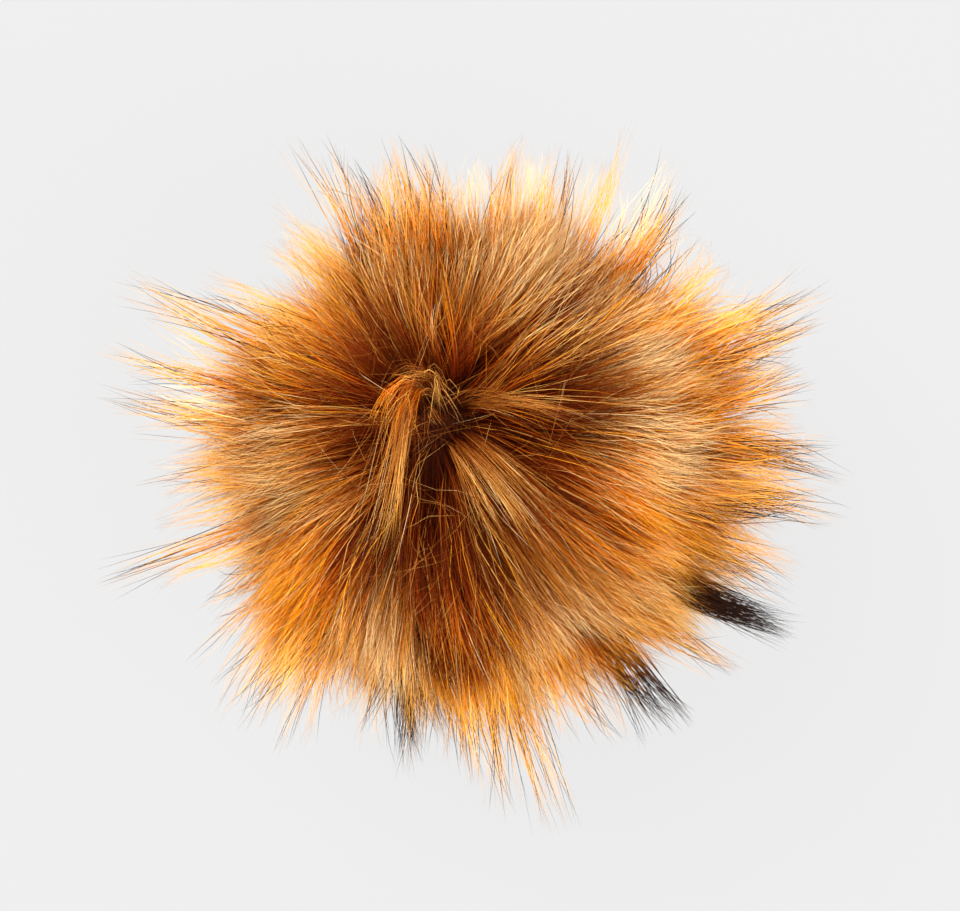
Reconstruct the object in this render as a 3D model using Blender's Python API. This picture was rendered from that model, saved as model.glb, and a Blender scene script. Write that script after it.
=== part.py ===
"""A long-pile fur pom-pom, at rest on a flat spot of its own pile.

One disc of long-pile fur cloth is gathered into a small tight ball, so its pile stands out on every
side. The pile is drawn as three-sided locks, each grown out of one facet of the cloth ball, and the
ball and its locks are one piece of cloth and one solid.

Metres, +Z up. The origin is on the surface that the pom-pom stands on, in the middle of the flat spot
under the ball. Seen from above, headings run counter-clockwise from +X.
"""

import math

import bmesh
import bpy
from mathutils import Matrix, Vector, noise

MM = 0.001

# Driving sizes
BALL_RADIUS = 18 * MM  # the gathered cloth, without its pile
BALL_HEIGHT = 46 * MM  # the ball's centre above the surface
CROWN_REACH = 55 * MM  # from the ball's centre to the tips of the upright locks
UNDER_REACH = 58 * MM  # the same for the locks that lean down but end above the surface
FACETS = 3  # icosphere subdivisions: 320 facets, and a lock on nearly every one
FACET_JITTER = 0.1  # how far a facet's corners wander, as a share of the radius
GRAIN = 6  # how quickly the pile's unevenness changes round the ball

# How the locks lie
PARTING = Vector((-0.15, 0.16, 1.0)).normalized()  # the direction from which the crown's locks part
SPLAY = math.radians(18)  # the most that a lock's tip leans away from the parting
SPLAY_AT = math.radians(32)  # the lock that leans most, by its angle from the parting
SPLAY_WIDTH = math.radians(44)
SWAY = math.radians(2)  # how far single locks stray from their neighbours
SAG = 4 * MM  # how far the tip of a level lock hangs
ELBOW_ROOM = math.radians(8.5)  # the least angle between two tips, seen from the ball's centre
EASINGS = 30
BARE_CROWN = math.radians(13)  # no lock grows this near the parting, where the pile opens
FOOT_ANGLE = math.radians(36)  # locks this near straight down end in flat feet on the surface
CLEARANCE = 4 * MM  # no other lock ends nearer to the surface than this
BARE_UNDER = 15  # facets left bare between the feet, where the pile is crushed away
MIDDLE_FOOT = math.radians(14)  # the facets this near straight down keep their even corners

# A lock's girth along its length, as a share of the cone that its facet subtends.
# share of the length, girth
PLAIN_GIRTH = ((0.20, 0.84), (0.44, 0.70), (0.67, 0.46), (0.86, 0.22), (1.0, 0.0))
TUFT_GIRTH = ((0.20, 0.80), (0.42, 0.58), (0.64, 0.34), (0.84, 0.17), (1.0, 0.0))
FOOT_GIRTH = ((0.45, 0.86), (0.80, 0.62), (1.0, 0.50))
CURL_GIRTH = ((0.12, 0.85), (0.26, 0.62), (0.42, 0.48), (0.58, 0.42), (0.74, 0.32), (0.88, 0.18), (1.0, 0.0))
POINT = 1.11  # the pile's single points reach this much further than its thick part
UNEVEN = 0.10  # how much the locks' lengths differ, as a share
BEND_AT = 0.5  # where a lock's control point is, as a share of its length

# Reach of the pile round the waist, from the ball's axis.
# heading (degrees), thick pile (mm)
WAIST = (
    (0, 62), (15, 57), (30, 57), (45, 53), (60, 51), (75, 55),
    (90, 51), (105, 56), (120, 57), (135, 50), (150, 55), (165, 58),
    (180, 56), (195, 55), (210, 57), (225, 63), (240, 53), (255, 54),
    (270, 55), (285, 54), (300, 56), (315, 55), (330, 60), (345, 57),
)

# The tufts that stand out past the thick pile.
# heading (degrees), reach (mm), height of the tip (mm)
RIM_TUFTS = (
    (10.6, 73, 52), (22.3, 74, 44), (27.5, 77, 56), (51.8, 70, 50), (57.8, 72, 58), (66, 74, 48),
    (77, 65, 56), (86, 67, 44), (109.5, 65, 58), (120.3, 77, 46), (129, 67, 40), (150, 64, 60),
    (152.8, 80, 46), (165, 79, 56), (171, 78, 42), (184, 65, 54), (198.4, 80, 48), (215.4, 72, 54),
    (222, 76, 40), (232, 74, 52), (239.6, 69, 40), (250.1, 64, 54), (260.1, 66, 44), (275.5, 73, 52),
    (282, 77, 42), (293.1, 68, 54), (307, 66, 36), (311, 65, 50), (320.5, 67, 42), (331.4, 69, 38),
    (341, 68, 56), (352.3, 75, 50), (357, 74, 60),
)

# The crown's own tufts: where each grows, the point that draws it over, and where its tip ends.
# heading and lean from straight up (degrees), over (mm), tip (mm)
CROWN_TUFTS = (
    (105, 20, (-17, 24, 128), (-14, -16, 90)),  # curls over towards -Y
    (30, 17, (7, 10, 104), (29, 9, 93)),  # sweeps towards +X
)


def heading_of(direction):
    return math.degrees(math.atan2(direction.y, direction.x)) % 360


def on_ball(heading, lean):
    """The direction with this heading that leans this far from straight up, both in degrees."""
    h, v = math.radians(heading), math.radians(lean)
    return Vector((math.sin(v) * math.cos(h), math.sin(v) * math.sin(h), math.cos(v)))


def waist_reach(heading):
    """The thick pile's reach at a heading, on a straight line between the rows of WAIST."""
    step = 360 / len(WAIST)
    row = int(heading // step) % len(WAIST)
    share = heading / step - int(heading // step)
    after = WAIST[(row + 1) % len(WAIST)][1]
    return (WAIST[row][1] * (1 - share) + after * share) * MM


def wander(point, seed):
    """A smooth, repeatable number from about -1 to 1 for a direction or point."""
    return noise.noise(point * GRAIN + Vector((seed * 17.3, seed * 5.1, seed * 11.7)))


def cloth_ball():
    """The gathered cloth: an uneven icosphere with a facet facing straight down."""
    bm = bmesh.new()
    bmesh.ops.create_icosphere(bm, subdivisions=FACETS, radius=BALL_RADIUS)
    bm.faces.ensure_lookup_table()
    lowest = min(bm.faces, key=lambda f: f.calc_center_median().z)
    turn = lowest.calc_center_median().rotation_difference(Vector((0, 0, -1)))
    bmesh.ops.transform(bm, matrix=turn.to_matrix().to_4x4(), verts=bm.verts)
    for vert in bm.verts:
        out = vert.co.normalized()
        if out.z > -math.cos(MIDDLE_FOOT):
            shift = Vector([wander(out, seed) for seed in (1, 2, 3)]) * FACET_JITTER
            vert.co = (out + shift).normalized() * BALL_RADIUS
    bmesh.ops.translate(bm, verts=bm.verts, vec=(0, 0, BALL_HEIGHT))
    return bm


def splayed(direction):
    """The direction in which a lock's tip ends: its root's, leant away from the parting.

    The lean is a bell curve of the root's angle from the parting.
    """
    angle = direction.angle(PARTING)
    lean = SPLAY * math.exp(-(((angle - SPLAY_AT) / SPLAY_WIDTH) ** 2))
    axis = PARTING.cross(direction)
    return Matrix.Rotation(lean, 3, axis) @ direction if axis.length > 1e-6 else direction


def free_reach(direction):
    """From the ball's centre to a lock's tip: the waist's reach, the crown's and the underside's, blended."""
    upright = direction.z**2
    side = waist_reach(heading_of(direction)) * POINT
    ends = CROWN_REACH if direction.z > 0 else UNDER_REACH
    return (side * (1 - upright) + ends * upright) * (1 + UNEVEN * wander(direction, 4))


def outward(centre, direction, tip):
    """The control point of a lock that starts straight out from its root."""
    return centre + direction * (BALL_RADIUS + BEND_AT * ((tip - centre).length - BALL_RADIUS))


def plain_lock(centre, direction):
    """The control point and the tip of a lock that has no row of its own."""
    strayed = direction + SWAY * Vector([wander(direction, seed) for seed in (5, 6, 7)])
    way = splayed(strayed.normalized())
    reach = free_reach(way)
    tip = centre + way * reach - Vector((0, 0, SAG * (1 - way.z**2)))
    if tip.z < CLEARANCE:
        tip = centre.lerp(tip, (centre.z - CLEARANCE) / (centre.z - tip.z))
    return outward(centre, direction, tip), tip


def foot_lock(centre, direction):
    """The control point and the end of a short lock under the ball, which ends on the surface."""
    tip = centre - direction * centre.z / direction.z
    tip.z = 0
    return centre.lerp(tip, BEND_AT), tip


def eased(locks, centre):
    """The same locks, with the tips of the plain ones moved apart until each has its elbow room."""
    ways = [(tip - centre).normalized() for _, _, tip, _, _ in locks]
    for _ in range(EASINGS):
        for i, (_, _, _, girth, _) in enumerate(locks):
            if girth is not PLAIN_GIRTH:
                continue
            push = Vector()
            for j, other in enumerate(ways):
                gap = ways[i].angle(other, math.pi)
                if i != j and gap < ELBOW_ROOM:
                    push += (ways[i] - other).normalized() * (ELBOW_ROOM - gap) / 2
            ways[i] = (ways[i] + push).normalized()
    moved = []
    for way, (face, over, tip, girth, flat_end) in zip(ways, locks):
        if girth is PLAIN_GIRTH:
            tip = centre + way * (tip - centre).length
            tip.z = max(tip.z, CLEARANCE)
        moved.append((face, over, tip, girth, flat_end))
    return moved


def bend(root, over, tip, share):
    """A point on the quadratic curve from root to tip that over draws out, and its heading there."""
    a, b = root.lerp(over, share), over.lerp(tip, share)
    return a.lerp(b, share), (b - a).normalized()


def grow_lock(bm, centre, face, over, tip, girth, flat_end):
    """Extrudes a facet into a lock along the curve to its tip, one ring for each row of girth.

    A ring is the facet's outline as it would be at that distance from the ball's centre, turned to
    face along the lock and narrowed to its girth.
    """
    root = face.calc_center_median()
    out = (root - centre).normalized()
    corners = [(v.co - centre) / BALL_RADIUS - out * ((root - centre).length / BALL_RADIUS) for v in face.verts]
    for share, width in girth:
        face = bmesh.ops.extrude_discrete_faces(bm, faces=[face])["faces"][0]
        place, ahead = bend(root, over, tip, share)
        turn = out.rotation_difference(ahead)
        spread = min((place - centre).length, CROWN_REACH) * width
        for vert, corner in zip(face.verts, corners):
            vert.co = place + (turn @ corner) * spread
    if flat_end:
        for vert in face.verts:
            vert.co.z = 0
    else:
        bmesh.ops.pointmerge(bm, verts=face.verts, merge_co=tip)


def claimed_locks(way, centre):
    """The facets of the rim's and the crown's own tufts, each with its curve and girth.

    A crown tuft grows from the facet nearest to its root, and a rim tuft from the facet whose plain
    lock would have pointed nearest to its tip.
    """
    claimed = {}
    for heading, lean, over, tip in CROWN_TUFTS:
        root = on_ball(heading, lean)
        face = min((f for f in way if f not in claimed), key=lambda f: way[f].angle(root))
        claimed[face] = (Vector(over) * MM, Vector(tip) * MM, CURL_GIRTH)
    points = {face: plain_lock(centre, direction)[1] - centre for face, direction in way.items()}
    for heading, reach, height in RIM_TUFTS:
        tip = on_ball(heading, 90) * reach * MM
        tip.z = height * MM
        face = min((f for f in way if f not in claimed), key=lambda f: points[f].angle(tip - centre))
        claimed[face] = (outward(centre, way[face], tip), tip, TUFT_GIRTH)
    return claimed


def grow_pile(bm):
    """A lock on every facet but the bare ones, each listed before the first is grown."""
    centre = Vector((0, 0, BALL_HEIGHT))
    way = {face: (face.calc_center_median() - centre).normalized() for face in bm.faces}
    claimed = claimed_locks(way, centre)
    down = Vector((0, 0, -1))
    under = sorted((f for f in way if way[f].angle(down) < FOOT_ANGLE), key=lambda f: way[f].angle(down))
    bare = set(under[1:1 + 2 * BARE_UNDER:2])
    locks = []
    for face in way:
        if face in claimed:
            locks.append((face, *claimed[face], False))
        elif face in bare or way[face].angle(PARTING) < BARE_CROWN:
            continue
        elif face in under:
            locks.append((face, *foot_lock(centre, way[face]), FOOT_GIRTH, True))
        else:
            locks.append((face, *plain_lock(centre, way[face]), PLAIN_GIRTH, False))
    for lock in eased(locks, centre):
        grow_lock(bm, centre, *lock)


def fur_material():
    fur = bpy.data.materials.new("fox_brown_fur")
    fur.use_nodes = True
    shader = fur.node_tree.nodes["Principled BSDF"]
    shader.inputs["Base Color"].default_value = (0.62, 0.30, 0.09, 1)
    shader.inputs["Roughness"].default_value = 0.6
    shader.inputs["Metallic"].default_value = 0
    return fur


def main():
    for old in list(bpy.data.objects):
        bpy.data.objects.remove(old)
    collection = bpy.data.collections.new("pom_pom")
    bpy.context.scene.collection.children.link(collection)
    bm = cloth_ball()
    grow_pile(bm)
    mesh = bpy.data.meshes.new("fur_ball")
    bm.to_mesh(mesh)
    bm.free()
    mesh.materials.append(fur_material())
    mesh.shade_smooth()
    ball = bpy.data.objects.new("fur_ball", mesh)
    collection.objects.link(ball)


main()
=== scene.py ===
"""The looks of a long-pile faux fur pom-pom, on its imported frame.

Every hair is a slim three-sided strand, closed at both ends, grown from a gathered ball of backing
cloth. Hairs are drawn together into wisps, wisps into locks and locks into tresses, as in the pile of
real fur cloth.

Metres, +Z up. The ball stands on z = 0, with the origin in the middle of its flat spot. Headings run
counter-clockwise from +X as seen from above.
"""

import math

import bpy
import numpy as np
from bpy.props import FloatProperty, FloatVectorProperty, IntProperty, PointerProperty
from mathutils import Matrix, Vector


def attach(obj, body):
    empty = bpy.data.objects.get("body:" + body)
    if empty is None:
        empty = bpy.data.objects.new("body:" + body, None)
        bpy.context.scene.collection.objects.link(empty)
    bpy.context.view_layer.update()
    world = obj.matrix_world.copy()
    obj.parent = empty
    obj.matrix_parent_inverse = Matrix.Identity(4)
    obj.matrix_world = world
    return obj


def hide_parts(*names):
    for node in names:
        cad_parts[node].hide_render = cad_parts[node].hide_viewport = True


bl_info = {
    "name": "Faux Fur Pom-Pom",
    "version": (1, 0, 0),
    "blender": (4, 5, 0),
    "location": "View3D > Sidebar > Pom-Pom",
    "description": "Grows a long-pile faux fur pom-pom strand by strand, with its stage",
    "category": "Add Mesh",
}

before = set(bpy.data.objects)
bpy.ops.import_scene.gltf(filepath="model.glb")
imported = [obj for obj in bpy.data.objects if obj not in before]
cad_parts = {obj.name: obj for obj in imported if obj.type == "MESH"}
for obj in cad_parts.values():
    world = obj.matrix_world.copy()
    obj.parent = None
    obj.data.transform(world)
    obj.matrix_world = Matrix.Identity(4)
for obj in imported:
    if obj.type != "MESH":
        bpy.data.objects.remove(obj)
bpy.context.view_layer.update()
NODE = "fur_ball"
MM = 0.001

# The thick pile round the waist: its reach from the ball's axis, and how far its tips are turned from
# straight outwards.
# heading (degrees), reach (mm), turn (degrees, counter-clockwise from above)
WAIST = (
    (0, 62, -8), (15, 57, -3), (30, 57, 2), (45, 53, 9), (60, 51, 10), (75, 55, 6),
    (90, 51, 2), (105, 56, 0), (120, 57, 2), (135, 50, 2), (150, 55, 3), (165, 58, 3),
    (180, 56, 0), (195, 55, 4), (210, 57, 5), (225, 63, 12), (240, 53, 20), (255, 54, 14),
    (270, 55, 10), (285, 54, 11), (300, 56, 15), (315, 55, 14), (330, 60, 8), (345, 57, -2),
)

# About how high the tufts of the rim grow (mm): each leaves the pile halfway from here to its tip's height.
RIM_HEIGHT = 54

# Tufts of long hair that stand out past the thick pile.
# x, y where it leaves the pile (mm), x, y, z of its tip (mm), hairs, how widely they spread (mm), dye
RIM_TUFTS = (
    (-26, 47, -39, 67, 54, 16, 2.8, "smoke"), (-25, 49, -32, 64, 54, 14, 3.4, "smoke"),
    (-25, 47, -29, 63, 60, 16, 2.6, "smoke"), (-25, 37, -42, 52, 52, 44, 2.2, "gold"),
    (-28, 35, -42, 44, 52, 60, 2.2, "gold"), (-33, 29, -55, 36, 62, 26, 2.4, "gold"),
    (-35, 26, -55, 32, 62, 60, 3, "smoke"), (-35, 25, -50, 28, 62, 60, 4, "gold"),
    (-45, 25, -72, 37, 52, 34, 2.6, "smoke"), (-46, 23, -69, 32, 52, 18, 2.6, "smoke"),
    (-47, 21, -65, 28, 52, 26, 3, "gold"), (-47, 17, -61, 21, 58, 30, 4, "fox"),
    (-48, 14, -77, 21, 58, 46, 2.2, "smoke"), (-47, 11, -62, 13, 52, 30, 4, "pale"),
    (-48, 6, -77, 13, 52, 46, 2.4, "smoke"), (-48, 7, -73, 11, 52, 24, 2.2, "gold"),
    (-47, 4, -61, 6, 52, 30, 4, "fox"), (-48, 0, -65, 0, 54, 36, 3, "gold"),
    (-48, -2, -71, -4, 54, 16, 3, "smoke"), (-47, -5, -62, -6, 54, 36, 3, "gold"),
    (-45, -8, -64, -13, 50, 26, 2.6, "gold"), (-45, -12, -59, -18, 50, 36, 3.4, "gold"),
    (-47, -14, -77, -26, 50, 26, 1.8, "smoke"), (-46, -19, -62, -23, 50, 24, 3, "gold"),
    (-43, -23, -55, -28, 50, 26, 3, "smoke"), (-43, -28, -59, -42, 54, 24, 2, "smoke"),
    (-41, -34, -54, -51, 48, 26, 3, "smoke"), (-39, -36, -49, -53, 54, 34, 3.4, "smoke"),
    (-37, -38, -45, -58, 54, 26, 2.6, "smoke"), (-37, -36, -43, -50, 54, 60, 4, "gold"),
    (-34, -38, -40, -59, 50, 22, 2.4, "smoke"), (-31, -36, -35, -59, 50, 44, 2.2, "smoke"),
    (-25, -38, -26, -49, 50, 34, 5, "brown"), (-20, -40, -22, -60, 56, 26, 2.6, "smoke"),
    (-15, -39, -14, -62, 50, 110, 3.2, "black"), (-12, -41, -9, -63, 50, 26, 3, "smoke"),
    (-7, -44, -2, -59, 50, 36, 3.4, "fox"), (-4, -46, 1, -66, 54, 54, 2.8, "smoke"),
    (1, -46, 6, -71, 54, 48, 2.4, "smoke"), (2, -44, 6, -60, 54, 70, 3.6, "gold"),
    (5, -46, 16, -76, 50, 54, 2.6, "smoke"), (7, -44, 20, -74, 50, 34, 3.4, "smoke"),
    (14, -45, 24, -62, 56, 24, 3.4, "smoke"), (19, -46, 28, -58, 56, 34, 3, "smoke"),
    (23, -39, 33, -51, 46, 60, 4, "brown"), (30, -45.5, 41.5, -55, 50, 64, 1.9, "black"),
    (34, -43, 44, -53, 52, 40, 1.2, "black"), (33, -33, 54, -43, 52, 60, 2.8, "smoke"),
    (40, -26.5, 62.5, -35, 60, 230, 2.6, "black"), (45, -23, 59, -28, 45, 30, 3.4, "smoke"),
    (43, -19, 64, -28, 45, 24, 3.4, "smoke"), (43, -15, 65, -24, 58, 60, 3, "smoke"),
    (45, -14, 65, -20, 58, 44, 3, "gold"), (52, -7, 74, -11, 54, 50, 2.8, "smoke"),
    (52, -6, 71, -8, 54, 70, 2.8, "gold"), (51, -10, 67, -10, 54, 40, 3, "black"),
    (54, -4, 64, -2, 62, 36, 3, "gold"), (46, 5, 74, -4, 62, 70, 2.4, "smoke"),
    (53, 2, 71, 3, 62, 64, 2.4, "smoke"), (53, 6, 65, 7, 54, 44, 3.4, "gold"),
    (52, 11, 72, 13, 54, 26, 2.6, "smoke"), (52, 12, 67, 17, 54, 50, 2.4, "smoke"),
    (52, 16, 63, 18, 54, 40, 3.6, "fox"), (52, 20, 64, 22, 54, 44, 2.6, "smoke"),
    (53, 21, 69, 28, 54, 80, 2.2, "smoke"), (49, 24, 72, 34, 56, 40, 2.4, "smoke"),
    (48, 26, 68, 35, 56, 34, 2.4, "smoke"), (47, 27, 60, 30, 56, 70, 3.4, "gold"),
    (43, 33, 49, 38, 56, 70, 4, "gold"), (37, 35, 45, 44, 52, 26, 3, "smoke"),
    (34, 39, 43, 55, 52, 54, 2.2, "smoke"), (34, 41, 39, 61, 58, 36, 2, "smoke"),
    (29, 41, 35, 52, 58, 40, 3.6, "pale"), (25, 39, 32, 51, 58, 26, 2.6, "smoke"),
    (24, 44, 30, 68, 52, 44, 2.2, "gold"), (19, 44, 25, 61, 52, 36, 3.2, "pale"),
    (17, 44, 21, 62, 52, 28, 2.4, "smoke"), (14, 50, 15, 63, 56, 44, 3, "gold"),
    (10, 49, 11, 62, 56, 44, 3, "pale"), (6, 49, 7, 64, 54, 50, 3, "gold"),
    (4, 51, 5, 67, 54, 16, 2.2, "smoke"), (1, 49, 0, 58, 54, 36, 4, "pale"),
    (-4, 47, -4, 58, 54, 36, 3, "gold"), (-7, 47, -10, 63, 60, 44, 3, "smoke"),
    (-11, 46, -14, 60, 60, 50, 2.4, "smoke"), (-13, 48, -17, 64, 60, 30, 2, "smoke"),
    (-17, 48, -20, 59, 60, 44, 3.4, "gold"), (-37, -30, -48, -38, 52, 90, 3.4, "fox"),
    (-27, -38, -34, -48, 52, 80, 3.6, "fox"), (-33, -36, -42, -46, 52, 60, 3.6, "fox"),
    (-27, 38, -37, 48, 54, 80, 3.4, "fox"), (-20, 48, -25, 56, 60, 50, 3.4, "smoke"),
)

# Tufts that lie over the crown, each along a smooth path through four points.
# four times x, y, z (mm), hairs, how thick the tuft is (mm), dye, how far along its band the dye runs
CROWN_TUFTS = (
    ((-7, 10, 68), (-9, 15, 90), (-12, 16.5, 96), (-16, 11, 92), 12, 0.7, "pale", 0.72),  # curls over
    ((-6, 9, 68), (-8, 15, 91), (-13, 15, 97), (-18, 9, 92), 12, 0.8, "pale", 0.78),
    ((-6, 9, 68), (-8, 14, 91), (-11, 15, 96), (-12, 7, 91), 18, 0.9, "tipped", 0.82),
    ((-8, 10, 68), (-12, 14, 94), (-15.5, 9, 95), (-15, 0, 91), 40, 1.0, "orange", 0.92),
    ((-8, 10, 68), (-12, 13, 94), (-13.5, 9, 95), (-12.5, 1, 91), 22, 0.8, "orange", 0.86),
    ((-8, 10, 68), (-12, 14, 95), (-16, 3, 93), (-29, -21, 79), 16, 1.3, "pale", 0.78),
    ((-8, 9, 68), (-13, 13, 95), (-16, 0, 92), (-27, -25, 78), 18, 1.3, "tipped", 0.84),
    ((-8, 9, 68), (-13, 12, 94), (-16, -3, 90), (-25, -28, 77), 20, 1.3, "pale", 0.88),
    ((-9, 8, 68), (-13, 9, 93), (-15, -5, 89), (-22, -27, 77), 16, 1.1, "tipped", 0.90),
    ((-8, 8, 68), (-12, 9, 93), (-14, -5, 90), (-15.5, -23, 80), 9, 0.8, "tipped", 0.94),
    ((-7, 8, 68), (-9, 9, 92), (-8, 7, 93), (-6, 4, 88), 12, 0.7, "brown", 0.90),
    ((-6, 8, 68), (-7, 13, 89), (-6, 12, 93), (-4, 5, 88), 16, 1.0, "tipped", 0.88),
    ((-4, 10, 68), (1, 12, 88), (7, 11, 93), (14, 9, 88), 16, 1.0, "pale", 0.76),  # sweeps towards +X
    ((-4, 9, 68), (3, 11, 89), (12, 10, 91), (22, 8, 84), 16, 0.9, "pale", 0.82),
    ((-4, 9, 68), (3, 10, 88), (14, 10, 90), (29, 7, 80), 18, 1.2, "tipped", 0.92),
    ((-4, 9, 68), (3, 9, 87), (12, 7, 89), (24, 2, 81), 14, 1.2, "orange", 0.86),
    ((-1, 9, 68), (2, 12, 86), (6, 15, 92), (10, 17.5, 90), 12, 0.7, "pale", 0.76),
    ((0, 10, 68), (12, 11, 88), (26, 7, 82), (42, 3, 72), 6, 1.2, "black", 1),
    ((0, 8, 68), (12, 9, 88), (27, 4, 82), (40, -3, 72), 6, 1.2, "black", 1),
    ((-6, 3, 70), (-3, 0, 91), (1, -8, 90), (5, -16, 83), 20, 1.1, "pale", 0.86),  # falls towards +X and -Y
    ((-6, 4, 70), (-1, 1, 92), (6, -7, 90), (13, -18, 82), 26, 1.3, "pale", 1),
    ((-6, 4, 70), (0, 0, 92), (9, -11, 88), (17, -24, 78), 22, 1.3, "tipped", 1),
    ((-5, 5, 70), (2, 0, 92), (12, -11, 88), (25, -26, 76), 18, 1.3, "tipped", 0.94),
    ((-5, 6, 70), (3, 2, 92), (12, -6, 90), (23, -15, 80), 16, 1.2, "pale", 0.90),
    ((-4, 6, 70), (5, 3, 90), (14, -2, 88), (24, -10, 80), 12, 1.2, "brown", 0.90),
    ((-5, 3, 70), (-3, -4, 89), (0, -11, 87), (4, -22, 79), 14, 1.2, "tipped", 0.84),
    ((1, 4, 70), (10, -6, 88), (20, -17, 84), (33, -29, 72), 16, 1.2, "orange", 0.95),
    ((-5, 6, 70), (11, -6, 90), (26, -22, 80), (42, -38, 65), 12, 2.6, "black", 1),
    ((-5, 6, 70), (9, -6, 89), (22, -24, 80), (32, -42, 66), 6, 1.6, "black", 1),
    ((-7, 4, 70), (-11, -8, 86), (-13, -20, 80), (-12, -35, 68), 8, 1.6, "black", 0.95),
    ((-8, 3, 70), (-14, -6, 86), (-18, -17, 80), (-22, -30, 70), 6, 1.6, "black", 0.95),
    ((-5, 12, 68), (-4, 19, 84), (-6, 30, 80), (-9, 41, 72), 34, 1.6, "orange", 0.98),  # stands up
    ((-2, 13, 68), (0, 20, 85), (2, 26, 82), (3, 33, 76), 18, 1.5, "orange", 0.84),
    ((-1, 15, 68), (1, 22, 84), (3, 28, 82), (0, 36, 76), 20, 1.6, "brown", 0.90),
    ((-7, 13, 68), (-9, 21, 86), (-10, 27, 84), (-8, 35, 76), 24, 1.4, "pale", 0.96),
    ((-13, 12, 66), (-22, 19, 82), (-30, 24, 77), (-40, 29, 67), 26, 1.6, "pale", 0.92),
    ((-9, 12, 68), (-15, 19, 86), (-20, 26, 82), (-24, 34, 72), 16, 1.4, "fox", 0.76),
)

# Openings in the crown, where the hair parts and its dark roots show.
# x, y (mm), radius (mm)
OPENINGS = (
    (1, 17, 6.0), (8, 3.6, 4.4), (-9, -3, 4.2), (-7.5, -14, 4.4), (4, -17.5, 4.0), (-16, 20, 4.2),
    (14, 22, 3.6), (-22, 2, 4.0), (-19, -11, 3.4), (19, -5, 3.6),
)

# How far above the ball's centre the pile begins to give way to the openings (mm).
PARTED_ABOVE = 6

DYES = ("fox", "orange", "gold", "pale", "brown", "smoke", "black", "under", "tipped")
VARIANTS = 40  # columns of slightly different hairs that each dye has


def srgb(code):
    """An sRGB hex colour as linear red, green, blue and an alpha of 1."""
    parts = [int(code[i:i + 2], 16) / 255 for i in (1, 3, 5)]
    return [c / 12.92 if c <= 0.04045 else ((c + 0.055) / 1.055) ** 2.4 for c in parts] + [1.0]


class PomPomPile(bpy.types.PropertyGroup):
    """Sizes of the ball and its pile, and how many hairs there are."""

    ball_radius: FloatProperty(name="Ball radius", description="The gathered cloth and its mat of roots",
                               default=28 * MM, unit="LENGTH")
    ball_height: FloatProperty(name="Ball height", description="The ball's centre above the surface",
                               default=46 * MM, unit="LENGTH")
    crown_reach: FloatProperty(name="Crown reach", description="From the ball's centre to upright tips",
                               default=56 * MM, unit="LENGTH")
    under_reach: FloatProperty(name="Under reach", description="From the ball's centre to hanging tips",
                               default=56 * MM, unit="LENGTH")
    splay: FloatProperty(name="Splay", description="The most that hair leans away from the parting",
                         default=math.radians(48), unit="ROTATION")
    whorl: FloatProperty(name="Whorl", description="Angle from the parting within which hair stays upright",
                         default=math.radians(9), unit="ROTATION")
    splay_width: FloatProperty(name="Splay width", description="Angle over which the lean fades",
                               default=math.radians(52), unit="ROTATION")
    sag: FloatProperty(name="Sag", description="How far the tip of a level hair hangs",
                       default=4 * MM, unit="LENGTH")
    guard_width: FloatProperty(name="Guard hair width", description="Thickness of a long outer hair",
                               default=0.125 * MM, unit="LENGTH")
    under_width: FloatProperty(name="Underfur width", description="Thickness of a short inner hair",
                               default=0.109 * MM, unit="LENGTH")
    underfur_hairs: IntProperty(name="Underfur", description="Inner hairs in each of two layers",
                                default=19600)
    guard_hairs: IntProperty(name="Guard hairs", description="Outer hairs in each of three layers",
                             default=10200)
    stray_hairs: IntProperty(name="Stray hairs", description="Long hairs that cross the others", default=1400)
    flying_hairs: IntProperty(name="Flying hairs", description="Short hairs over the crown", default=700)
    tresses: IntProperty(name="Tresses", description="Broad tresses that locks follow", default=150)
    locks: IntProperty(name="Locks", description="Pointed locks that wisps are drawn towards", default=620)
    wisps: IntProperty(name="Wisps", description="Fine wisps that the hairs are drawn towards", default=4200)


class PomPomStage(bpy.types.PropertyGroup):
    """Colour and light of the stage."""

    surface: FloatVectorProperty(name="Surface", description="Colour of the stage", subtype="COLOR",
                                 size=3, default=srgb("#303030")[:3])
    glow: FloatProperty(name="Glow", description="Light that the table gives off", default=0.77)
    key_power: FloatProperty(name="Key light", description="Power of the large soft lamp", unit="POWER",
                             default=19.0)
    fill_power: FloatProperty(name="Fill light", description="Power of the small lamp opposite", unit="POWER",
                              default=10.5)


# The direction in which the parting of the crown lies from the ball's centre.
PARTING = np.array((-0.26, 0.26, 0.93))


def unit(vectors):
    return vectors / np.maximum(np.linalg.norm(vectors, axis=-1, keepdims=True), 1e-9)


def scattered(count, rng, jitter):
    """Directions spread evenly over a ball by the golden angle, each strayed at random by jitter."""
    i = np.arange(count)
    z = 1 - (2 * i + 1) / count
    turn = i * math.pi * (3 - math.sqrt(5))
    flat = np.sqrt(1 - z * z)
    even = np.stack((flat * np.cos(turn), flat * np.sin(turn), z), axis=-1)
    return unit(even + rng.normal(size=even.shape) * jitter / math.sqrt(count))


def ripple(places, seed, rate):
    """A smooth number from about -1 to 1 at each place: the sum of eight crossing sine waves."""
    rng = np.random.default_rng(seed)
    waves = rng.normal(size=(3, 8)) * rate
    return np.sin(places @ waves + rng.uniform(0, 2 * math.pi, 8)).sum(axis=-1) / 4


def round_waist(ways, column):
    """A column of the waist's table at the heading of each direction."""
    heading = np.degrees(np.arctan2(ways[:, 1], ways[:, 0]))
    rows = np.array(WAIST, dtype=float)
    return np.interp(heading, rows[:, 0], rows[:, column], period=360)


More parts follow.
